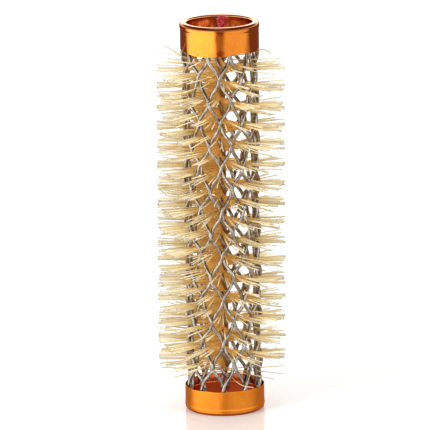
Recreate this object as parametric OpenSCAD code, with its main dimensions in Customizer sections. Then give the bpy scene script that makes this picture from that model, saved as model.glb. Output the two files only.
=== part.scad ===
// Hair roller: a twisted-wire brush inside a braided wire tube held by two folded metal rings.
// Millimetres, +Z up, standing on the lower ring with the tube axis on Z.

/* [Roller] */
// Length between the two rim faces
roller_len = 63.5; // [60:0.5:76]
// Outside diameter of the two rings
roller_d = 12.7; // [12:0.1:15]

/* [Rings] */
// Height of the lower ring
lower_ring_h = 4.0; // [3.8:0.1:4.3]
// Height of the upper ring
upper_ring_h = 4.5; // [3.8:0.1:4.7]
// Thickness of the folded sheet
sheet_t = 0.25; // [0.2:0.01:0.28]
// Radius of the rounded outer rim corner
rim_round = 0.38; // [0.2:0.02:0.5]
// Depth of the pressed groove under the rim
groove_depth = 0.08; // [0.03:0.01:0.1]

/* [Mesh] */
// Diameter of the steel mesh wires
mesh_wire_d = 0.5; // [0.36:0.02:0.5]
// Clearance between two wires where they cross
mesh_gap = 0.1; // [0.06:0.02:0.12]
// Number of half diamonds along the tube
mesh_bays = 15; // [11:2:17]
// Angle of the first crossing column around the tube
mesh_start = -91.5; // [-100:0.5:-80]

/* [Brush] */
// Diameter of one stem wire
stem_wire_d = 0.66; // [0.56:0.02:0.7]
// Diameter of one bristle
bristle_d = 0.17; // [0.12:0.01:0.18]
// Radius of the bristle tips about the tube axis
bristle_reach = 10.2; // [8:0.1:12]
// Bristles in each half turn of the brush
bristles_per_row = 14; // [8:1:14]
// Direction of the twist phase at the base of the stem
twist_start = 44.3; // [0:0.1:90]
// Lean of the upper stem end away from the tube axis
end_lean = 12; // [0:1:14]
// Compass direction of that lean
end_lean_dir = 61; // [0:1:360]

/* [Coated tips] */
// Outside radius of the dipped coating on the stem ends
tip_r = 0.98; // [0.94:0.02:1.1]
// Length of the dipped coating
tip_len = 2.6; // [1.6:0.1:3]

/* [Hidden] */

ring_r = roller_d / 2;
wall_r = ring_r - sheet_t;                    // inside of the outer wall
slot_r = wall_r - mesh_wire_d - 0.08;         // outside of the inner wall
bore_r = slot_r - sheet_t;                    // open bore of the ring
seat_r = (wall_r + slot_r) / 2 + 0.01;        // mesh wires run here inside the rings
slot_floor = sheet_t + 0.05;

over_r = ring_r - 0.12 - mesh_wire_d / 2;     // wire centre where it passes over
under_r = over_r - mesh_wire_d - mesh_gap;    // wire centre where it passes under
column_a = 18;                                // 20 crossing columns around the tube
first_z = lower_ring_h + 0.5;
last_z = roller_len - upper_ring_h - 0.5;
bay_h = (last_z - first_z) / mesh_bays;
wire_turn = column_a / bay_h;                 // degrees per millimetre of height

row_h = (roller_len - 13.1) / 16;             // one half turn of the brush
twist = 180 / row_h;                          // degrees per millimetre, left handed
helix_r = (stem_wire_d + bristle_d) / 2 + 0.035;
bristle_step = row_h / bristles_per_row;
bristles_from = 6.55;
stem_foot = 1.4;
stem_head = roller_len + 0.35;
tip_over = 0.4;                               // how far the coating reaches past the wire ends
lean_from = roller_len - 5;
lean_full = roller_len - 3;
stem_bore = helix_r + stem_wire_d / 2 + 0.035;
lean_slope = tan(end_lean);

steel = [0.62, 0.60, 0.57];
orange = [0.96, 0.55, 0.16];
cream = [0.92, 0.80, 0.58];
crimson = [0.66, 0.12, 0.15];

// ---------- helpers ----------
function arc(cx, cy, r, a0, a1, n) =
  [for (i = [0:n]) let (a = a0 + (a1 - a0) * i / n) [cx + r * cos(a), cy + r * sin(a)]];
function unit(v) = v / norm(v);
function tangent(p, i) = unit(p[min(i + 1, len(p) - 1)] - p[max(i - 1, 0)]);
function section(p, ref, i, r, n) =
  let (t = tangent(p, i), u = unit(cross(t, ref)), v = cross(u, t))
  [for (j = [0:n - 1]) p[i] + r * (cos(360 * j / n) * v + sin(360 * j / n) * u)];

// A round wire of radius r along the points p, with n flat sides
module sweep(p, refs, r, n) {
  m = len(p);
  pts = [for (i = [0:m - 1]) each section(p, refs[i], i, r, n)];
  sides = [for (i = [0:m - 2]) for (j = [0:n - 1])
    let (a = i * n + j, b = i * n + (j + 1) % n, c = a + n, d = b + n)
    each [[a, c, d], [a, d, b]]];
  foot = [for (j = [1:n - 2]) [0, j, j + 1]];
  head = [for (j = [1:n - 2]) let (o = (m - 1) * n) [o, o + j + 1, o + j]];
  polyhedron(points = pts, faces = concat(sides, foot, head), convexity = 6);
}

// ---------- rings ----------
function ring_section(h) = concat(
  arc(bore_r + 0.15, 0.15, 0.15, 180, 270, 4),
  arc(ring_r - rim_round, rim_round, rim_round, 270, 360, 6),
  [[ring_r, 0.80], [ring_r - groove_depth, 1.00], [ring_r - groove_depth, 1.10], [ring_r, 1.30],
   [ring_r, h], [ring_r - 0.10, h], [wall_r, h - 0.65], [wall_r, slot_floor],
   [slot_r, slot_floor], [slot_r, h - 1.0], [bore_r, h - 1.0]]);

module folded_ring(h) rotate_extrude($fn = 96) polygon(ring_section(h));

module lower_ring() color(orange) folded_ring(lower_ring_h);
module upper_ring() color(orange)
  translate([0, 0, roller_len]) rotate([180, 0, 0]) folded_ring(upper_ring_h);

// ---------- mesh ----------
// Radius of a wire at crossing level k: hand +1 passes over at even levels, hand -1 at odd ones
function weave_r(k, hand) = ((k % 2 == 0) == (hand > 0)) ? over_r : under_r;
// Cylindrical stations [height, radius] from the lower ring to the upper one
function stations(hand) = concat(
  [[first_z - 0.778 * bay_h, seat_r], [lower_ring_h - 0.8, seat_r]],
  [for (k = [0:mesh_bays]) [first_z + k * bay_h, weave_r(k, hand)]],
  [[roller_len - upper_ring_h + 0.8, seat_r], [last_z + 0.778 * bay_h, seat_r]]);
function wire_angle(i, hand, z) = mesh_start + 2 * column_a * i + hand * wire_turn * (z - first_z);

module mesh_wire(i, hand) {
  s = stations(hand);
  p = [for (q = s) let (a = wire_angle(i, hand, q[0])) [q[1] * cos(a), q[1] * sin(a), q[0]]];
  refs = [for (q = p) [q[0], q[1], 0]];
  color(steel) sweep(p, refs, mesh_wire_d / 2, 8);
}

module mesh_wire_r01() mesh_wire(0, 1);
module mesh_wire_r02() mesh_wire(1, 1);
module mesh_wire_r03() mesh_wire(2, 1);
module mesh_wire_r04() mesh_wire(3, 1);
module mesh_wire_r05() mesh_wire(4, 1);
module mesh_wire_r06() mesh_wire(5, 1);
module mesh_wire_r07() mesh_wire(6, 1);
module mesh_wire_r08() mesh_wire(7, 1);
module mesh_wire_r09() mesh_wire(8, 1);
module mesh_wire_r10() mesh_wire(9, 1);
module mesh_wire_l01() mesh_wire(0, -1);
module mesh_wire_l02() mesh_wire(1, -1);
module mesh_wire_l03() mesh_wire(2, -1);
module mesh_wire_l04() mesh_wire(3, -1);
module mesh_wire_l05() mesh_wire(4, -1);
module mesh_wire_l06() mesh_wire(5, -1);
module mesh_wire_l07() mesh_wire(6, -1);
module mesh_wire_l08() mesh_wire(7, -1);
module mesh_wire_l09() mesh_wire(8, -1);
module mesh_wire_l10() mesh_wire(9, -1);

// ---------- twisted stem ----------
function twist_angle(z) = twist_start - twist * z;
// Sideways drift of the stem centre line near its upper end
function drift(z) = z <= lean_from ? 0
  : z <= lean_full ? lean_slope * (z - lean_from) * (z - lean_from) / (2 * (lean_full - lean_from))
  : lean_slope * ((lean_full - lean_from) / 2 + (z - lean_full));
function centre(z) = [drift(z) * cos(end_lean_dir), drift(z) * sin(end_lean_dir), z];

module stem_wire(phase) {
  steps = ceil((stem_head - stem_foot) / (row_h / 6));
  z = [for (i = [0:steps]) stem_foot + (stem_head - stem_foot) * i / steps];
  refs = [for (q = z) let (a = twist_angle(q) + phase) [cos(a), sin(a), 0]];
  p = [for (i = [0:steps]) centre(z[i]) + helix_r * refs[i]];
  color(steel) sweep(p, refs, stem_wire_d / 2, 6);
}
module stem_wire_a() stem_wire(0);
module stem_wire_b() stem_wire(180);

// ---------- coated tips ----------
// A dipped coat over the stem end, closed and rounded at the top of its own axis
module coat() rotate_extrude($fn = 48) polygon(concat(
  [[stem_bore, 0], [tip_r, 0.12]],
  arc(tip_r - 0.4, tip_len - 0.4, 0.4, 0, 90, 6),
  [[0, tip_len], [0, tip_len - 0.2], [stem_bore, tip_len - 0.2]]));

module stem_tip_upper() color(crimson)
  translate(centre(stem_head + tip_over - tip_len))
    rotate([0, 0, end_lean_dir]) rotate([0, end_lean, 0]) coat();
module stem_tip_lower() color(crimson)
  translate([0, 0, stem_foot - tip_over + tip_len]) rotate([180, 0, 0]) coat();

// ---------- bristles ----------
// Wrap to the nearest wire of one hand, in crossing columns
function off_wire(x) = abs(x - 2 * round(x / 2));
function clear_of_mesh(a, z) = let (u = (a - mesh_start) / column_a, w = (z - first_z) / bay_h)
  min(off_wire(u - w), off_wire(u + w));
// Turn a bristle sideways until it passes through an open diamond
function open_angle(a, z, k = 0) = let (s = (k % 2 == 0 ? 1 : -1) * ceil(k / 2) * 0.7)
  (clear_of_mesh(a + s, z) >= 0.27 || k > 44) ? a + s : open_angle(a, z, k + 1);

module bristle(z) {
  a = open_angle(twist_angle(z) + 90, z);
  translate([0, 0, z]) rotate([0, 0, a]) rotate([0, 90, 0])
    cylinder(h = 2 * bristle_reach, d = bristle_d, center = true, $fn = 16);
}
module bristle_row(n) color(cream)
  for (i = [0:bristles_per_row - 1]) bristle(bristles_from + n * row_h + (i + 0.5) * bristle_step);

module bristle_row_01() bristle_row(0);
module bristle_row_02() bristle_row(1);
module bristle_row_03() bristle_row(2);
module bristle_row_04() bristle_row(3);
module bristle_row_05() bristle_row(4);
module bristle_row_06() bristle_row(5);
module bristle_row_07() bristle_row(6);
module bristle_row_08() bristle_row(7);
module bristle_row_09() bristle_row(8);
module bristle_row_10() bristle_row(9);
module bristle_row_11() bristle_row(10);
module bristle_row_12() bristle_row(11);
module bristle_row_13() bristle_row(12);
module bristle_row_14() bristle_row(13);
module bristle_row_15() bristle_row(14);
module bristle_row_16() bristle_row(15);
module bristles_end_lower() color(cream) for (i = [0:2]) bristle(bristles_from - 0.3 - i * 0.42);
module bristles_end_upper() color(cream) for (i = [0:2]) bristle(roller_len - 6.55 + 0.3 + i * 0.42);

// ---------- assembly ----------
lower_ring();
upper_ring();
mesh_wire_r01();
mesh_wire_r02();
mesh_wire_r03();
mesh_wire_r04();
mesh_wire_r05();
mesh_wire_r06();
mesh_wire_r07();
mesh_wire_r08();
mesh_wire_r09();
mesh_wire_r10();
mesh_wire_l01();
mesh_wire_l02();
mesh_wire_l03();
mesh_wire_l04();
mesh_wire_l05();
mesh_wire_l06();
mesh_wire_l07();
mesh_wire_l08();
mesh_wire_l09();
mesh_wire_l10();
stem_wire_a();
stem_wire_b();
stem_tip_upper();
stem_tip_lower();
bristle_row_01();
bristle_row_02();
bristle_row_03();
bristle_row_04();
bristle_row_05();
bristle_row_06();
bristle_row_07();
bristle_row_08();
bristle_row_09();
bristle_row_10();
bristle_row_11();
bristle_row_12();
bristle_row_13();
bristle_row_14();
bristle_row_15();
bristle_row_16();
bristles_end_lower();
bristles_end_upper();
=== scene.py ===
import math
import random
import bpy
import numpy as np
from mathutils import Matrix, Vector


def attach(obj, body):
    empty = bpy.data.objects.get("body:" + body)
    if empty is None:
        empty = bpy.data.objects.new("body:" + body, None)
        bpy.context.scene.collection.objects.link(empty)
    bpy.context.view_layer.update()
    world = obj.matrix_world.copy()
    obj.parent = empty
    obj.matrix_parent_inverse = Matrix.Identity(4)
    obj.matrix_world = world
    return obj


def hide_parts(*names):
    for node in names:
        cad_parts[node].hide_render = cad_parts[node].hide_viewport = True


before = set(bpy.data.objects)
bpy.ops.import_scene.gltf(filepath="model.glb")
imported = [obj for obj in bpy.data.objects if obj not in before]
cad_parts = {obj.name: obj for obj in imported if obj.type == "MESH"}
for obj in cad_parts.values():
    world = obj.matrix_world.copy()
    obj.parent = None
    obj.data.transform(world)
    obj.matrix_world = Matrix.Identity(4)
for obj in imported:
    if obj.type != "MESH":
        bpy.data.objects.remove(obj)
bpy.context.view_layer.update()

MM = 0.001
UP = np.array([0.0, 0.0, 1.0])
LEN = 63.5
RING_R = 6.35

# ------------------------------------------------------------------ helpers

def mesh_object(name, verts, faces, mat, smooth=True, sharp=None, tone=None):
    me = bpy.data.meshes.new(name)
    me.from_pydata([tuple(v) for v in np.asarray(verts) * MM], [], faces)
    if tone is not None:
        at_ = me.color_attributes.new(name="tone", type="FLOAT_COLOR", domain="POINT")
        at_.data.foreach_set("color", np.asarray(tone, np.float32).ravel())
    me.update()
    if smooth:
        me.shade_smooth()
    if sharp is not None:
        me.set_sharp_from_angle(angle=math.radians(sharp))
    ob = bpy.data.objects.new(name, me)
    bpy.context.scene.collection.objects.link(ob)
    me.materials.append(mat)
    return ob


def unit(v):
    return v / max(np.linalg.norm(v), 1e-12)


def tube(path, refs, radii, sides, cap=True):
    """Vertices and faces of a round tube along path; refs fixes where its first side points."""
    path = np.asarray(path, float)
    n = len(path)
    verts, faces = [], []
    for i in range(n):
        t = unit(path[min(i + 1, n - 1)] - path[max(i - 1, 0)])
        u = unit(np.cross(t, refs[i]))
        v = np.cross(u, t)
        r = radii[i]
        for j in range(sides):
            a = 2 * math.pi * j / sides
            verts.append(path[i] + r * (math.cos(a) * v + math.sin(a) * u))
    for i in range(n - 1):
        for j in range(sides):
            a, b = i * sides + j, i * sides + (j + 1) % sides
            faces.append((a, b, b + sides, a + sides))
    if cap:
        faces.append(tuple(range(sides - 1, -1, -1)))
        o = (n - 1) * sides
        faces.append(tuple(o + j for j in range(sides)))
    return verts, faces


def smoothstep(a, b, x):
    t = min(max((x - a) / (b - a), 0.0), 1.0)
    return t * t * (3 - 2 * t)


def nodes_of(mat):
    mat.use_nodes = True
    nt = mat.node_tree
    return nt, nt.nodes, nt.links, nt.nodes["Principled BSDF"]


def new(nt, kind, **kw):
    n = nt.nodes.new(kind)
    for k, v in kw.items():
        setattr(n, k, v)
    return n


def ramp(nt, stops, interp="LINEAR"):
    n = nt.nodes.new("ShaderNodeValToRGB")
    cr = n.color_ramp
    cr.interpolation = interp
    while len(cr.elements) < len(stops):
        cr.elements.new(0.5)
    for e, (pos, col) in zip(cr.elements, stops):
        e.position = pos
        e.color = (*col, 1.0) if len(col) == 3 else col
    return n


def object_mm(nt):
    """Object coordinates in millimetres, as a vector output."""
    tc = nt.nodes.new("ShaderNodeTexCoord")
    sc = new(nt, "ShaderNodeVectorMath", operation="SCALE")
    sc.inputs["Scale"].default_value = 1000.0
    nt.links.new(tc.outputs["Object"], sc.inputs[0])
    return sc.outputs["Vector"]


def stretched(nt, vec, scale):
    m = new(nt, "ShaderNodeVectorMath", operation="MULTIPLY")
    m.inputs[1].default_value = scale
    nt.links.new(vec, m.inputs[0])
    return m.outputs["Vector"]


# ------------------------------------------------------------------ materials

def ring_material(name, dye, r0, r1, coat, inside_shade, reach, edge, painted_shade_spots=()):
    mat = bpy.data.materials.new(name)
    nt, nodes, links, bsdf = nodes_of(mat)
    vec = object_mm(nt)
    # slow colour change of the dye, and fine drawing marks that run up the wall
    slow = new(nt, "ShaderNodeTexNoise")
    slow.inputs["Scale"].default_value = 0.35
    slow.inputs["Detail"].default_value = 3.0
    links.new(vec, slow.inputs["Vector"])
    col = ramp(nt, [(q, tuple(dye * v for v in c)) for q, c in
                    [(0.3, (0.94, 0.255, 0.010)), (0.55, (1.0, 0.305, 0.016)), (0.8, (1.0, 0.35, 0.022))]])
    links.new(slow.outputs["Fac"], col.inputs["Fac"])
    marks = new(nt, "ShaderNodeTexNoise")
    marks.inputs["Scale"].default_value = 1.0
    marks.inputs["Detail"].default_value = 6.0
    marks.inputs["Roughness"].default_value = 0.65
    links.new(stretched(nt, vec, (9.0, 9.0, 1.1)), marks.inputs["Vector"])
    mix = new(nt, "ShaderNodeMix", data_type="RGBA", blend_type="MULTIPLY")
    mix.inputs["Factor"].default_value = 0.35
    links.new(col.outputs["Color"], mix.inputs["A"])
    tone = ramp(nt, [(0.25, (0.72, 0.66, 0.62)), (0.6, (1.0, 1.0, 1.0))])
    links.new(marks.outputs["Fac"], tone.inputs["Fac"])
    links.new(tone.outputs["Color"], mix.inputs["B"])
    # painted shade: the inner faces get a darker, duller dye, standing for the shade inside the bore
    flat = new(nt, "ShaderNodeVectorMath", operation="LENGTH")
    links.new(stretched(nt, vec, (1.0, 1.0, 0.0)), flat.inputs[0])
    bore = new(nt, "ShaderNodeMapRange")
    bore.inputs["From Min"].default_value = reach
    bore.inputs["From Max"].default_value = reach - 0.10
    links.new(flat.outputs["Value"], bore.inputs["Value"])
    inside_shade_mix = new(nt, "ShaderNodeMix", data_type="RGBA")
    inside_shade_mix.inputs["B"].default_value = (*inside_shade, 1)
    half_bore = new(nt, "ShaderNodeMath", operation="MULTIPLY")
    half_bore.inputs[1].default_value = 0.8
    links.new(bore.outputs["Result"], half_bore.inputs[0])
    links.new(half_bore.outputs[0], inside_shade_mix.inputs["Factor"])
    last = mix.outputs["Result"]
    # each spot multiplies a dark tint into the dye: painted shade
    for place, size, tint in painted_shade_spots:
        gap = new(nt, "ShaderNodeVectorMath", operation="SUBTRACT")
        gap.inputs[1].default_value = place
        links.new(vec, gap.inputs[0])
        dist = new(nt, "ShaderNodeVectorMath", operation="LENGTH")
        links.new(stretched(nt, gap.outputs["Vector"], (1 / size[0], 1 / size[0], 1 / size[1])), dist.inputs[0])
        near = new(nt, "ShaderNodeMapRange", interpolation_type="SMOOTHSTEP")
        near.inputs["From Min"].default_value = 1.0
        near.inputs["From Max"].default_value = 0.45
        links.new(dist.outputs["Value"], near.inputs["Value"])
        patch = new(nt, "ShaderNodeMix", data_type="RGBA", blend_type="MULTIPLY")
        patch.inputs["B"].default_value = (*tint, 1)
        links.new(near.outputs["Result"], patch.inputs["Factor"])
        links.new(last, patch.inputs["A"])
        last = patch.outputs["Result"]
    links.new(last, inside_shade_mix.inputs["A"])
    links.new(inside_shade_mix.outputs["Result"], bsdf.inputs["Base Color"])
    rough = new(nt, "ShaderNodeMapRange")
    rough.inputs["To Min"].default_value = r0
    rough.inputs["To Max"].default_value = r1
    links.new(marks.outputs["Fac"], rough.inputs["Value"])
    links.new(rough.outputs["Result"], bsdf.inputs["Roughness"])
    bump = new(nt, "ShaderNodeBump")
    bump.inputs["Strength"].default_value = 0.10
    bump.inputs["Distance"].default_value = 0.00004
    links.new(marks.outputs["Fac"], bump.inputs["Height"])
    links.new(bump.outputs["Normal"], bsdf.inputs["Normal"])
    bsdf.inputs["Metallic"].default_value = 1.0
    bsdf.inputs["Specular Tint"].default_value = (*edge, 1)      # the dye looks deeper at grazing angles
    bsdf.inputs["Coat Weight"].default_value = coat
    bsdf.inputs["Coat Roughness"].default_value = 0.08
    return mat


def wire_material(name, light, dark, r0, r1, scale):
    mat = bpy.data.materials.new(name)
    nt, nodes, links, bsdf = nodes_of(mat)
    vec = object_mm(nt)
    spots = new(nt, "ShaderNodeTexNoise")
    spots.inputs["Scale"].default_value = scale
    spots.inputs["Detail"].default_value = 5.0
    spots.inputs["Roughness"].default_value = 0.6
    links.new(vec, spots.inputs["Vector"])
    col = ramp(nt, [(0.32, dark), (0.62, light)])
    links.new(spots.outputs["Fac"], col.inputs["Fac"])
    links.new(col.outputs["Color"], bsdf.inputs["Base Color"])
    fine = new(nt, "ShaderNodeTexNoise")
    fine.inputs["Scale"].default_value = 1.0
    fine.inputs["Detail"].default_value = 4.0
    links.new(stretched(nt, vec, (14.0, 14.0, 3.0)), fine.inputs["Vector"])
    rough = new(nt, "ShaderNodeMapRange")
    rough.inputs["To Min"].default_value = r0
    rough.inputs["To Max"].default_value = r1
    links.new(fine.outputs["Fac"], rough.inputs["Value"])
    links.new(rough.outputs["Result"], bsdf.inputs["Roughness"])
    bump = new(nt, "ShaderNodeBump")
    bump.inputs["Strength"].default_value = 0.25
    bump.inputs["Distance"].default_value = 0.00003
    links.new(fine.outputs["Fac"], bump.inputs["Height"])
    links.new(bump.outputs["Normal"], bsdf.inputs["Normal"])
    bsdf.inputs["Metallic"].default_value = 1.0
    return mat


def bristle_material():
    mat = bpy.data.materials.new("cream_nylon")
    nt, nodes, links, bsdf = nodes_of(mat)
    vec = object_mm(nt)
    flat = stretched(nt, vec, (1.0, 1.0, 0.0))
    length = new(nt, "ShaderNodeVectorMath", operation="LENGTH")
    links.new(flat, length.inputs[0])
    grain = new(nt, "ShaderNodeTexNoise")
    grain.inputs["Scale"].default_value = 1.6
    grain.inputs["Detail"].default_value = 3.0
    links.new(vec, grain.inputs["Vector"])
    wob = new(nt, "ShaderNodeMath", operation="MULTIPLY_ADD")
    wob.inputs[1].default_value = 2.6
    links.new(grain.outputs["Fac"], wob.inputs[0])
    links.new(length.outputs["Value"], wob.inputs[2])
    rng = new(nt, "ShaderNodeMapRange")
    rng.inputs["From Min"].default_value = 1.3
    rng.inputs["From Max"].default_value = 11.5
    links.new(wob.outputs["Value"], rng.inputs["Value"])
    # from the cream tips towards the core the colour deepens to amber: painted shade and painted orange
    # interreflection of the packed pile over the nylon's cream colour
    col = ramp(nt, [(0.0, (0.80, 0.465, 0.108)), (0.30, (0.91, 0.60, 0.19)), (0.52, (0.97, 0.73, 0.32)),
                    (0.72, (1.0, 0.85, 0.54)), (1.0, (1.0, 0.93, 0.74))])
    links.new(rng.outputs["Result"], col.inputs["Fac"])
    tone = new(nt, "ShaderNodeVertexColor", layer_name="tone")
    mul = new(nt, "ShaderNodeMix", data_type="RGBA", blend_type="MULTIPLY")
    mul.inputs["Factor"].default_value = 1.0
    links.new(col.outputs["Color"], mul.inputs["A"])
    links.new(tone.outputs["Color"], mul.inputs["B"])
    links.new(mul.outputs["Result"], bsdf.inputs["Base Color"])
    rough = new(nt, "ShaderNodeMapRange")
    rough.inputs["To Min"].default_value = 0.32
    rough.inputs["To Max"].default_value = 0.55
    links.new(grain.outputs["Fac"], rough.inputs["Value"])
    links.new(rough.outputs["Result"], bsdf.inputs["Roughness"])
    bsdf.inputs["Specular IOR Level"].default_value = 0.5
    # painted glow: the fibres near the core emit a little light of their own colour, standing for light that soaks
    # through the packed pile
    core_glow = new(nt, "ShaderNodeMapRange")
    core_glow.inputs["From Min"].default_value = 1.0
    core_glow.inputs["From Max"].default_value = 7.0
    core_glow.inputs["To Min"].default_value = 0.10
    core_glow.inputs["To Max"].default_value = 0.0
    links.new(length.outputs["Value"], core_glow.inputs["Value"])
    links.new(core_glow.outputs["Result"], bsdf.inputs["Emission Strength"])
    links.new(mul.outputs["Result"], bsdf.inputs["Emission Color"])
    return mat


def tip_material():
    mat = bpy.data.materials.new("crimson_dip")
    nt, nodes, links, bsdf = nodes_of(mat)
    vec = object_mm(nt)
    n1 = new(nt, "ShaderNodeTexNoise")
    n1.inputs["Scale"].default_value = 2.2
    n1.inputs["Detail"].default_value = 4.0
    links.new(vec, n1.inputs["Vector"])
    col = ramp(nt, [(0.3, (0.20, 0.003, 0.008)), (0.5, (0.45, 0.020, 0.026)), (0.75, (0.72, 0.13, 0.125))])
    links.new(n1.outputs["Fac"], col.inputs["Fac"])
    links.new(col.outputs["Color"], bsdf.inputs["Base Color"])
    rough = new(nt, "ShaderNodeMapRange")
    rough.inputs["To Min"].default_value = 0.15
    rough.inputs["To Max"].default_value = 0.40
    links.new(n1.outputs["Fac"], rough.inputs["Value"])
    links.new(rough.outputs["Result"], bsdf.inputs["Roughness"])
    bump = new(nt, "ShaderNodeBump")
    bump.inputs["Strength"].default_value = 0.4
    bump.inputs["Distance"].default_value = 0.00008
    links.new(n1.outputs["Fac"], bump.inputs["Height"])
    links.new(bump.outputs["Normal"], bsdf.inputs["Normal"])
    bsdf.inputs["Coat Weight"].default_value = 0.05
    bsdf.inputs["Coat Roughness"].default_value = 0.25
    bsdf.inputs["Specular IOR Level"].default_value = 0.35
    return mat


# painted shade: two dark spots on the front of the wall stand for the dark band it reflects there, and a painted
# dark line runs round where the rim turns down, standing for the shade and dark reflection under the rolled rim
ORANGE = ring_material("anodised_orange", 1.0, 0.08, 0.20, 0.6, (0.84, 0.40, 0.18), 5.55, (1.0, 0.88, 0.78),
                       [((0.12, -6.3, 59.35), (0.95, 0.70), (0.64, 0.36, 0.70)),
                        ((0.12, -6.3, 62.6), (0.85, 0.50), (0.52, 0.40, 0.60)),
                        ((0.0, 0.0, LEN - 0.30), (2000.0, 0.28), (0.34, 0.24, 0.28))])
# the lower ring has a rougher, worn satin finish; its dye is also set darker than the upper ring's, painted shade
# for the darker surroundings it reflects near the floor
SATIN = ring_material("anodised_orange_worn", 0.86, 0.22, 0.40, 0.3, (0.72, 0.145, 0.050), 6.345, (1.0, 0.50, 0.20))
TIN = wire_material("tinned_steel", (0.52, 0.475, 0.42), (0.19, 0.158, 0.122), 0.16, 0.36, 1.3)
# the stem wire's colour is set darker and browner than the mesh wire: painted shade of the pile around it and
# painted reflection of the orange bristles
STEM = wire_material("stem_steel", (0.50, 0.38, 0.31), (0.17, 0.11, 0.08), 0.18, 0.36, 1.6)
NYLON = bristle_material()
CRIMSON = tip_material()

# ------------------------------------------------------------------ rings

def ring(name, node, h, flip, phase, lift, mat, groove, corner, bead, bell):
    """A folded ring, lathed with a mouth edge that isn't quite level. Heights run from the rim plane."""
    seg = 240
    bore, wall, slot_r = 5.27, 6.10, 5.52
    prof = []   # r, z, how much the point follows the outer mouth, how much it follows the inner mouth
    for i in range(7):
        a = math.radians(180 + 90 * i / 6)
        prof.append((bore + 0.26 + 0.26 * math.cos(a), 0.26 + 0.26 * math.sin(a), 0, 0))
    for i in range(4):
        prof.append((bore + 0.27 + (RING_R - corner - bore - 0.28) * (i + 0.5) / 4, 0.0, 0, 0))
    for i in range(11):
        a = math.radians(270 + 90 * i / 10)
        prof.append((RING_R + bead - corner + corner * math.cos(a), corner + corner * math.sin(a), 0, 0))
    for z in np.linspace(0.62, 1.55, 21):
        d = groove * math.exp(-((z - 1.10) / 0.16) ** 2)
        side = smoothstep(0.80, 1.18, z)
        prof.append((RING_R + bead * (1 - side) - 0.05 * side - d, z, 0, 0))
    for i in range(1, 8):
        z = 1.6 + (h - 0.10 - 1.6) * i / 7
        prof.append((RING_R - 0.05, z, (z - 1.6) / (h - 1.6), 0))
    prof += [(RING_R - 0.06, h - 0.02, 1, 0), (RING_R - 0.085, h, 1, 0), (RING_R - 0.11, h - 0.02, 1, 0)]
    for i in range(1, 6):
        t = i / 5
        prof.append((RING_R - 0.12 - 0.13 * t, h - 0.05 - 0.60 * t, 1 - 0.4 * t, 0))
    prof += [(wall, 0.75, 0, 0), (wall - 0.02, 0.42, 0, 0), (wall - 0.12, 0.30, 0, 0),
             (slot_r + 0.12, 0.30, 0, 0), (slot_r + 0.02, 0.42, 0, 0)]
    hi = h - 1.0
    prof += [(slot_r, 0.9, 0, 0), (slot_r, hi - 0.35, 0, 0.8), (slot_r, hi - 0.08, 0, 1), (slot_r - 0.05, hi, 0, 1),
             (bore + 0.05, hi, 0, 1), (bore, hi - 0.08, 0, 1), (bore, hi - 0.4, 0, 0.8), (bore, 0.9, 0, 0)]
    n = len(prof)
    verts, faces = [], []
    for s in range(seg):
        th = 360.0 * s / seg
        up = lift(th)
        inner = 0.05 * math.sin(math.radians(3 * th + 40)) + 0.03 * math.sin(math.radians(7 * th))
        # where the fold is rolled down between two wires the wall bows very slightly
        bow = 0.012 * math.cos(math.radians(20 * (th - phase)))
        for (r, z, f, g) in prof:
            rr = r + bow * f - (0.02 * f) + (bell * smoothstep(0.0, 1.0, z) if r > 5.9 else 0)
            zz = z + up * f + inner * g
            x, y = rr * math.cos(math.radians(th)), rr * math.sin(math.radians(th))
            verts.append((x, y, LEN - zz if flip else zz))
    for s in range(seg):
        a, b = s * n, ((s + 1) % seg) * n
        for i in range(n):
            j = (i + 1) % n
            q = (a + i, b + i, b + j, a + j)
            faces.append(q[::-1] if flip else q)
    ob = mesh_object(name, verts, faces, mat, sharp=42)
    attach(ob, "cage")
    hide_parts(node)
    return ob


def lift_top(th):
    return 0.06 + 0.19 * math.cos(math.radians(3 * (th + 114))) + 0.04 * math.sin(math.radians(8 * th + 30))


def lift_low(th):
    return 0.0 + 0.05 * math.cos(math.radians(2 * (th + 60))) + 0.035 * math.sin(math.radians(9 * th + 75))


TOP_RING = ring("top_ring", "upper_ring", 4.5, True, 0.0, lift_top, ORANGE, 0.02, 0.50, 0.03, 0.0)
LOW_RING = ring("bottom_ring", "lower_ring", 4.0, False, 0.0, lift_low, SATIN, 0.006, 0.58, 0.0, 0.09)

# ------------------------------------------------------------------ mesh wires
TH0, Z0, BAY, BAYS = -91.5, 4.5, 3.6, 15
R_MID, R_AMP, SEAT = 5.68, 0.30, 5.82
BEND = 0.48     # how S-bent a wire is from one crossing to the next


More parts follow.
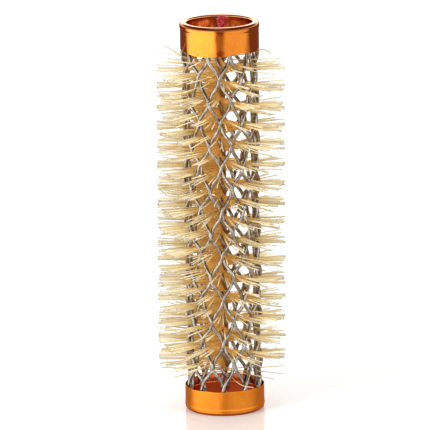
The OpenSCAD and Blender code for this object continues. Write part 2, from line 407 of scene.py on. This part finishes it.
def mesh_path(i, hand, rnd):
    """Centre line of one wire; it passes over and under the other hand's wires at each crossing."""
    w1 = [(rnd.uniform(-1, 1), rnd.uniform(0, 6.28)) for _ in range(5)]
    pts = []
    zs = np.linspace(Z0 - 0.778 * BAY, Z0 + BAYS * BAY + 0.778 * BAY, 15 * 10 + 14)
    for z in zs:
        k = (z - Z0) / BAY
        over = math.cos(math.pi * k) * (1 if hand > 0 else -1)
        # flatter tops than a sine: a stiff wire bends most where it is pressed
        over = math.copysign(abs(over) ** 0.85, over)
        r = R_MID + R_AMP * over
        lo, hi = smoothstep(Z0 - 0.1, Z0 - 1.3, z), smoothstep(Z0 + BAYS * BAY + 0.1, Z0 + BAYS * BAY + 1.3, z)
        r += (SEAT - r) * max(lo, hi)
        free = (1 - lo) * (1 - hi) * math.sin(math.pi * min(max((z - Z0) / (BAY * BAYS), 0), 1)) ** 0.5 if Z0 < z < Z0 + BAY * BAYS else 0
        wob = sum(a * math.sin(2 * math.pi * z / (41.0 / (m + 1)) + p) / (m + 1.0) for m, (a, p) in enumerate(w1))
        th = math.radians(TH0 + 36 * i + hand * 18 * (k - BEND * math.sin(2 * math.pi * k) / (2 * math.pi)) + 0.5 * wob * free)
        pts.append((r * math.cos(th), r * math.sin(th), z))
    return np.array(pts)


rnd = random.Random(7)
for hand, letter in ((1, "r"), (-1, "l")):
    for i in range(10):
        p = mesh_path(i, hand, rnd)
        refs = [np.array([q[0], q[1], 0.0]) for q in p]
        v, f = tube(p, refs, [0.282] * len(p), 14)
        ob = mesh_object(f"wire_{letter}{i + 1:02d}", v, f, TIN, sharp=50)
        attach(ob, "cage")
        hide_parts(f"mesh_wire_{letter}{i + 1:02d}")

# ------------------------------------------------------------------ twisted stem
ROW = 3.15
TWIST = 180 / ROW
SLOPE = math.tan(math.radians(12))
LEAN_DIR = math.radians(61)


def twist_angle(z):
    return 44.3 - TWIST * z


def drift(z):
    if z <= 58.5:
        return 0.0
    if z <= 60.5:
        return SLOPE * (z - 58.5) ** 2 / 4
    return SLOPE * (1 + (z - 60.5))


def centre(z):
    d = drift(z)
    return np.array([d * math.cos(LEAN_DIR), d * math.sin(LEAN_DIR), z])


HELIX, STEM_R = 0.435, 0.33
for label, phase in (("a", 0), ("b", 180)):
    zs = np.linspace(1.4, 63.85, 16 * 20 + 1)
    refs = [np.array([math.cos(math.radians(twist_angle(z) + phase)), math.sin(math.radians(twist_angle(z) + phase)), 0]) for z in zs]
    p = [centre(z) + HELIX * r for z, r in zip(zs, refs)]
    v, f = tube(p, refs, [STEM_R] * len(p), 14)
    ob = mesh_object(f"stem_{label}", v, f, STEM, sharp=50)
    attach(ob, "brush")
    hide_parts(f"stem_wire_{label}")


def dipped(name, node, z_open, z_end, edge, seed):
    """The dipped coat: it follows the two wires, fills the valley between them and ends in a dome."""
    rn = random.Random(seed)
    ph = [rn.uniform(0, 6.28) for _ in range(6)]
    sides = 40
    sgn = 1 if z_end > z_open else -1
    levels = []
    steps = 26
    for i in range(steps + 1):
        t = i / steps
        levels.append((t, 1.0))
    verts, faces = [], []
    length = abs(z_end - z_open)
    dome = 0.55
    rings = []
    for i in range(steps + 1):
        s = length * i / steps
        rings.append(s)
    for s in rings:
        ring_pts = []
        for j in range(sides):
            phi = 2 * math.pi * j / sides
            low = edge * (0.5 + 0.5 * math.sin(phi + ph[0])) * 0.8 + edge * 0.2 * math.sin(3 * phi + ph[1])
            ss = max(s, 0) * (length - max(low, 0)) / length + max(low, 0)
            z = z_open + sgn * ss
            a = math.radians(twist_angle(min(z, 64.0)))
            best = 0.52
            for c in (a, a + math.pi):
                psi = phi - c
                k = HELIX * math.sin(psi)
                rho = STEM_R + 0.15
                if abs(k) < rho and math.cos(psi) > 0:
                    best = max(best, HELIX * math.cos(psi) + math.sqrt(rho * rho - k * k))
            # soften the lobes and add small lumps
            best = 0.74 * best + 0.26 * 0.78
            best += 0.022 * math.sin(2 * phi + 3.1 * z + ph[2]) + 0.015 * math.sin(5 * phi - 2.2 * z + ph[3])
            d = (length - ss)
            if d < dome:
                q = 1 - d / dome
                best *= math.sqrt(max(1 - q * q, 0.0)) * 0.92 + 0.08
            if s < 0.10:
                best -= 0.05 * (1 - s / 0.10)
            ring_pts.append(centre(z) + np.array([best * math.cos(phi), best * math.sin(phi), 0]))
        verts += ring_pts
    m = len(rings)
    for i in range(m - 1):
        for j in range(sides):
            a, b = i * sides + j, i * sides + (j + 1) % sides
            q = (a, b, b + sides, a + sides)
            faces.append(q if sgn > 0 else q[::-1])
    bottom = tuple(range(sides - 1, -1, -1))
    top = tuple((m - 1) * sides + j for j in range(sides))
    faces.append(bottom if sgn > 0 else bottom[::-1])
    faces.append(top if sgn > 0 else top[::-1])
    ob = mesh_object(name, verts, faces, CRIMSON, sharp=60)
    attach(ob, "brush")
    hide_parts(node)
    return ob


dipped("tip_top", "stem_tip_upper", 62.2, 64.22, 0.9, 3)
dipped("tip_bottom", "stem_tip_lower", 3.3, 0.98, 0.8, 5)

# ------------------------------------------------------------------ bristles
BR = 0.087
TIP_R = 10.30
MESH_R = 5.75


def pushed(a, z, m):
    """Where a bristle that would meet a mesh wire ends up: beside it, in an open diamond."""
    u, w = (a - TH0) / 18, (z - Z0) / BAY
    w -= BEND * math.sin(2 * math.pi * w) / (2 * math.pi)
    p, q = u - w, u + w
    pb, qb = 2 * round(p / 2), 2 * round(q / 2)
    p0, q0 = p - pb, q - qb
    p0 = math.copysign(m + (1 - m) * abs(p0), p0)
    q0 = math.copysign(m + (1 - m) * abs(q0), q0)
    p, q = pb + p0, qb + q0
    w = x = (q - p) / 2
    for _ in range(8):
        x -= (x - BEND * math.sin(2 * math.pi * x) / (2 * math.pi) - w) / (1 - BEND * math.cos(2 * math.pi * x))
    return TH0 + 18 * (p + q) / 2, Z0 + BAY * x


RADII = [0.0, 0.9, 2.2, 3.6, 4.9, 5.75, 6.6, 7.8, 9.0, 1.0]


def half(zc, az, slope, curl_l, curl_v, tip, rn):
    """Points of one half of a bristle from the core outwards."""
    za = zc + slope * MESH_R
    m = 0.25
    a2, z2 = pushed(az, za, m)
    dl = MESH_R * math.radians(a2 - az)
    dv = z2 - za
    d = np.array([math.cos(math.radians(az)), math.sin(math.radians(az)), 0.0])
    s = np.array([-d[1], d[0], 0.0])
    out = []
    for r in [q for q in RADII[:-1] if q < tip - 0.4] + [tip - 0.22, tip]:
        t = min(r / MESH_R, 1.0)
        far = max(r - MESH_R, 0) / 4.55
        g = t * t * (3 - 2 * t) * 0.5 + t * t * 0.5
        lat = dl * (g + 0.15 * far) + curl_l * far ** 1.6
        ver = slope * r + dv * (g + 0.05 * far) + curl_v * far ** 1.6
        out.append(d * r + s * lat + UP * (zc + ver))
    return out


def spread(k, step):
    """An even scatter over -1..1: the k-th number of a golden-ratio sequence."""
    return 2 * ((k * step) % 1.0) - 1


def bristle(k, zc, az, rn):
    """Both halves of the k-th bristle of the brush; the pile fans out evenly instead of clumping."""
    halves = []
    for side in (0, 180):
        loose = 2.0 if rn.random() < 0.12 else 1.0
        a = az + side + 15.0 * spread(k + side, 0.61803) + rn.gauss(0, 2.5)
        slope = 0.034 * spread(k + side, 0.41421) + rn.gauss(0, 0.011) * loose
        cl, cv = rn.gauss(0, 0.10) * loose, 0.12 * spread(k + side, 0.41421) + rn.gauss(0, 0.05) * loose
        # the brush sits a little askew in the tube: lower down it reaches less far to the right
        down, c = min(max((57 - zc) / 50, 0), 1), math.cos(math.radians(a))
        tp = TIP_R + c * (0.02 - 0.47 * down) if c > 0 else TIP_R - c * (-0.16 + 0.50 * down)
        tp += rn.gauss(0, 0.05) - (rn.uniform(0.2, 0.9) if rn.random() < 0.08 else 0)
        tp = min(tp, TIP_R + 0.38)
        facing = abs(math.sin(math.radians(a)))
        front = math.sin(math.radians(a)) < 0
        caught = rn.random()
        if caught < (0.50 if front else 0.25) * smoothstep(0.62, 0.90, facing):
            tp = rn.uniform(4.4, 5.2)          # caught behind a wire of the mesh
        if front and caught < 0.42 * smoothstep(0.80, 0.95, facing) + 0.36 * smoothstep(0.93, 0.985, facing):
            tp = rn.uniform(1.7, 2.8)          # worn short
        halves.append(half(zc, a, slope, cl, cv, tp, rn))
    path = halves[1][::-1] + halves[0][1:]
    return np.array(path)


def density(z):
    """Bristles thin out towards both ends of the brush."""
    return 0.30 + 0.70 * smoothstep(5.2, 10.5, z) * smoothstep(59.2, 53.5, z)


def add(store, p, rn):
    verts, faces, tone = store
    dark = rn.random()
    g = 0.76 + 0.49 * dark
    c = (g, g * rn.uniform(0.965, 1.0), g * rn.uniform(0.86, 1.0), 1.0)
    v, f = tube(p, [UP] * len(p), [BR * rn.uniform(0.92, 1.08)] * len(p), 6)
    o = len(verts)
    verts += v
    faces += [tuple(i + o for i in q) for q in f]
    cut = tuple(0.60 * x for x in c[:3]) + (1.0,)      # the cut ends look darker
    tone += [cut] * 6 + [c] * (len(v) - 12) + [cut] * 6


def bristle_piece(name, node, z_from, z_to, count, seed, strays=()):
    rn = random.Random(seed)
    store = ([], [], [])
    for b in range(count):
        zc = z_from + (z_to - z_from) * (b + rn.uniform(0.3, 0.7)) / count
        if rn.random() > density(zc):
            continue
        add(store, bristle(seed * 977 + b, zc, twist_angle(zc) + 90, rn), rn)
    for path in strays:
        add(store, smooth_path(path), rn)
    ob = mesh_object(name, store[0], store[1], NYLON, sharp=60, tone=store[2])
    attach(ob, "brush")
    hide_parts(node)
    return ob


def smooth_path(points, n=5):
    """A Catmull-Rom curve through a bent bristle's points."""
    p = [np.array(q, float) for q in points]
    p = [2 * p[0] - p[1]] + p + [2 * p[-1] - p[-2]]
    out = []
    for i in range(1, len(p) - 2):
        for k in range(n):
            t = k / n
            out.append(0.5 * (2 * p[i] + (p[i + 1] - p[i - 1]) * t + (2 * p[i - 1] - 5 * p[i] + 4 * p[i + 1] - p[i + 2]) * t * t
                              + (3 * p[i] - p[i - 1] - 3 * p[i + 1] + p[i + 2]) * t ** 3))
    out.append(p[-2])
    return np.array(out)


# single bristles that were caught in the mesh and stand away from the rest
HIGH = [
    [(0.0, 0.1, 56.9), (-3.0, -0.2, 57.3), (-5.8, -0.7, 57.9), (-7.4, -0.9, 59.0), (-8.8, -1.0, 59.9)],
    [(0.0, -0.1, 57.4), (-3.2, 0.8, 57.6), (-5.7, 1.2, 57.8), (-8.0, 1.6, 58.0), (-10.1, 1.9, 58.1)],
    [(0.1, 0.0, 57.6), (3.2, 0.3, 57.9), (5.6, 0.6, 58.2), (6.9, 0.6, 58.7), (8.2, 0.4, 58.0)],
    [(0.0, 0.1, 57.2), (3.4, -0.6, 57.3), (5.9, -1.0, 57.4), (8.0, -1.3, 57.5), (9.5, -1.4, 57.6)],
    [(0.0, 0.0, 57.0), (-2.4, -2.6, 57.4), (-4.1, -4.2, 57.6), (-5.6, -5.6, 58.0), (-6.6, -6.9, 58.5)],
]
LOW = [
    [(0.0, 0.0, 6.1), (-3.0, 0.3, 6.2), (-5.8, 0.5, 6.3), (-8.0, 0.8, 6.4), (-10.1, 0.9, 6.4)],
    [(0.0, 0.1, 5.9), (-3.2, -0.9, 5.9), (-5.7, -1.4, 5.8), (-6.9, -1.5, 5.7), (-8.1, -1.6, 5.5)],
    [(0.0, -0.1, 6.3), (3.2, 0.6, 6.3), (5.8, 0.9, 6.2), (7.9, 1.0, 6.3), (9.6, 1.0, 6.4)],
    [(0.0, 0.0, 5.7), (1.2, -3.2, 5.6), (2.0, -5.5, 5.4), (3.2, -7.2, 5.2), (4.6, -8.4, 5.3)],
]
PER_ROW = 91
for n in range(16):
    bristle_piece(f"bristles_{n + 1:02d}", f"bristle_row_{n + 1:02d}", 6.55 + n * ROW, 6.55 + (n + 1) * ROW, PER_ROW, 100 + n)
bristle_piece("bristles_low", "bristles_end_lower", 5.4, 6.5, 12, 301, LOW)
bristle_piece("bristles_high", "bristles_end_upper", 57.0, 58.2, 12, 302, HIGH)

# ------------------------------------------------------------------ stage, camera, light

def area(name, loc, target, size, power, colour=(1, 1, 1), glossy=False):
    li = bpy.data.lights.new(name, "AREA")
    li.shape = "RECTANGLE"
    li.size, li.size_y = size
    li.energy = power
    li.color = colour
    ob = bpy.data.objects.new(name, li)
    bpy.context.scene.collection.objects.link(ob)
    d = Vector(target) - Vector(loc)
    ob.matrix_world = Matrix.Translation(Vector(loc)) @ d.to_track_quat("-Z", "Y").to_matrix().to_4x4()
    ob.visible_glossy = glossy
    return ob


def plain(name, colour, rough):
    mat = bpy.data.materials.new(name)
    nt, nodes, links, bsdf = nodes_of(mat)
    bsdf.inputs["Base Color"].default_value = (*colour, 1)
    bsdf.inputs["Roughness"].default_value = rough
    return mat


def disc(name, radius, z, mat, seg=96):
    v = [(radius * math.cos(2 * math.pi * i / seg), radius * math.sin(2 * math.pi * i / seg), z) for i in range(seg)]
    me = bpy.data.meshes.new(name)
    me.from_pydata(v, [], [tuple(range(seg))])
    ob = bpy.data.objects.new(name, me)
    bpy.context.scene.collection.objects.link(ob)
    me.materials.append(mat)
    return ob


def annulus(name, r0, r1, z, mat, seg=128):
    v = [(r * math.cos(2 * math.pi * i / seg), r * math.sin(2 * math.pi * i / seg), z) for r in (r0, r1) for i in range(seg)]
    me = bpy.data.meshes.new(name)
    me.from_pydata(v, [], [(i, seg + i, seg + (i + 1) % seg, (i + 1) % seg) for i in range(seg)])
    ob = bpy.data.objects.new(name, me)
    bpy.context.scene.collection.objects.link(ob)
    me.materials.append(mat)
    return ob


FLOOR = plain("floor_paint", (0.86, 0.86, 0.86), 0.05)
fb = FLOOR.node_tree.nodes["Principled BSDF"]
fb.inputs["Emission Color"].default_value = (1.0, 0.995, 0.985, 1)
fb.inputs["Emission Strength"].default_value = 0.08
fb.inputs["IOR"].default_value = 1.22
floor = disc("floor", 3.0, 0.0, FLOOR)
floor.visible_glossy = False


def reflected_only(ob):
    """Stage that is only seen in reflections: the near floor as the polished metal shows it."""
    for k in ("camera", "diffuse", "transmission", "volume_scatter", "shadow"):
        setattr(ob, "visible_" + k, False)


def glow(name, strength, clear, colour=(1.0, 0.97, 0.94)):
    mat = bpy.data.materials.new(name)
    mat.use_nodes = True
    nt = mat.node_tree
    nt.nodes.clear()
    o = nt.nodes.new("ShaderNodeOutputMaterial")
    e = nt.nodes.new("ShaderNodeEmission")
    e.inputs["Color"].default_value = (*colour, 1)
    e.inputs["Strength"].default_value = strength
    t = nt.nodes.new("ShaderNodeBsdfTransparent")
    m = nt.nodes.new("ShaderNodeMixShader")
    m.inputs[0].default_value = clear
    nt.links.new(e.outputs[0], m.inputs[1])
    nt.links.new(t.outputs[0], m.inputs[2])
    nt.links.new(m.outputs[0], o.inputs["Surface"])
    return mat


reflected_only(disc("floor_shade", 0.0066, -0.00002, glow("floor_shade_paint", 0.30, 0.1, (1.0, 0.5, 0.30)), 96))
reflected_only(annulus("floor_glow", 0.0066, 0.060, -0.00002, glow("floor_glow_paint", 0.80, 0.5)))

world = bpy.data.worlds.new("studio")
bpy.context.scene.world = world
world.use_nodes = True
wt = world.node_tree
wt.nodes.clear()
out = wt.nodes.new("ShaderNodeOutputWorld")
tc = wt.nodes.new("ShaderNodeTexCoord")
sep = wt.nodes.new("ShaderNodeSeparateXYZ")
wt.links.new(tc.outputs["Generated"], sep.inputs[0])
neg = new(wt, "ShaderNodeMath", operation="MULTIPLY")
neg.inputs[1].default_value = -1.0
wt.links.new(sep.outputs["Y"], neg.inputs[0])
phi = new(wt, "ShaderNodeMath", operation="ARCTAN2")
wt.links.new(sep.outputs["X"], phi.inputs[0])
wt.links.new(neg.outputs[0], phi.inputs[1])
turn = wt.nodes.new("ShaderNodeMapRange")
turn.inputs["From Min"].default_value = -math.pi
turn.inputs["From Max"].default_value = math.pi
wt.links.new(phi.outputs[0], turn.inputs["Value"])


def at(deg):
    return (deg + 180) / 360


DARK = (0.082, 0.040, 0.028)
CARD_L = (0.97, 0.96, 0.94)
CARD_R = (0.45, 0.42, 0.38)
GAP = (0.19, 0.125, 0.105)
pano = ramp(wt, [(at(-180), DARK), (at(-118), DARK), (at(-98), CARD_L), (at(-19), CARD_L), (at(-10), GAP),
                 (at(10), GAP), (at(18), CARD_R), (at(82), CARD_R), (at(98), DARK), (at(180), DARK)])
wt.links.new(turn.outputs["Result"], pano.inputs["Fac"])
# upwards: a bright band above the horizon, dark higher up, and a soft light straight overhead
sky = ramp(wt, [(0.0, (1.04, 1.03, 1.02)), (0.27, (1.04, 1.03, 1.02)), (0.34, (0.50, 0.48, 0.46)), (0.45, (0.08, 0.06, 0.05)), (0.93, (0.07, 0.055, 0.05)),
                (0.985, (0.40, 0.38, 0.36)), (1.0, (0.50, 0.48, 0.46))])
wt.links.new(sep.outputs["Z"], sky.inputs["Fac"])
rise = wt.nodes.new("ShaderNodeMapRange")
rise.interpolation_type = "SMOOTHSTEP"
rise.inputs["From Min"].default_value = 0.0
rise.inputs["From Max"].default_value = 0.18
wt.links.new(sep.outputs["Z"], rise.inputs["Value"])
dome = new(wt, "ShaderNodeMix", data_type="RGBA")
wt.links.new(rise.outputs["Result"], dome.inputs["Factor"])
wt.links.new(pano.outputs["Color"], dome.inputs["A"])
wt.links.new(sky.outputs["Color"], dome.inputs["B"])
bg_gloss = wt.nodes.new("ShaderNodeBackground")
bg_gloss.inputs["Strength"].default_value = 2.1
wt.links.new(dome.outputs["Result"], bg_gloss.inputs["Color"])
bg_soft = wt.nodes.new("ShaderNodeBackground")
bg_soft.inputs["Color"].default_value = (1.0, 0.99, 0.97, 1)
bg_soft.inputs["Strength"].default_value = 0.50
bg_cam = wt.nodes.new("ShaderNodeBackground")
bg_cam.inputs["Color"].default_value = (1, 1, 1, 1)
bg_cam.inputs["Strength"].default_value = 1.0
lp = wt.nodes.new("ShaderNodeLightPath")
m1 = wt.nodes.new("ShaderNodeMixShader")
wt.links.new(lp.outputs["Is Glossy Ray"], m1.inputs[0])
wt.links.new(bg_soft.outputs[0], m1.inputs[1])
wt.links.new(bg_gloss.outputs[0], m1.inputs[2])
m2 = wt.nodes.new("ShaderNodeMixShader")
wt.links.new(lp.outputs["Is Camera Ray"], m2.inputs[0])
wt.links.new(m1.outputs[0], m2.inputs[1])
wt.links.new(bg_cam.outputs[0], m2.inputs[2])
wt.links.new(m2.outputs[0], out.inputs["Surface"])

area("key_left", (-0.55, -0.45, 0.50), (0, 0, 0.03), (0.35, 0.45), 3.3)
area("fill_right", (0.60, -0.35, 0.30), (0, 0, 0.03), (0.30, 0.40), 2.15)
area("top_soft", (0.0, 0.15, 0.80), (0, 0, 0.03), (0.60, 0.60), 1.1)

cam = bpy.data.cameras.new("camera")
cam.sensor_width = 36.0
cam.sensor_fit = "HORIZONTAL"
cam.lens = 36.0 * 5607 / 430
cam.clip_start, cam.clip_end = 0.05, 10.0
cam_ob = bpy.data.objects.new("camera", cam)
bpy.context.scene.collection.objects.link(cam_ob)
el, dist = math.radians(13.0), 0.900
aim = Vector((-0.001156, 0.0, 0.03181))
look = Vector((0.0, math.cos(el), -math.sin(el)))
rot = look.to_track_quat("-Z", "Y").to_matrix().to_4x4()
roll = Matrix.Rotation(math.radians(-0.9), 4, "Z")
cam_ob.matrix_world = Matrix.Translation(aim - look * dist) @ rot @ roll
bpy.context.scene.camera = cam_ob
bpy.context.scene.view_settings.view_transform = "Standard"
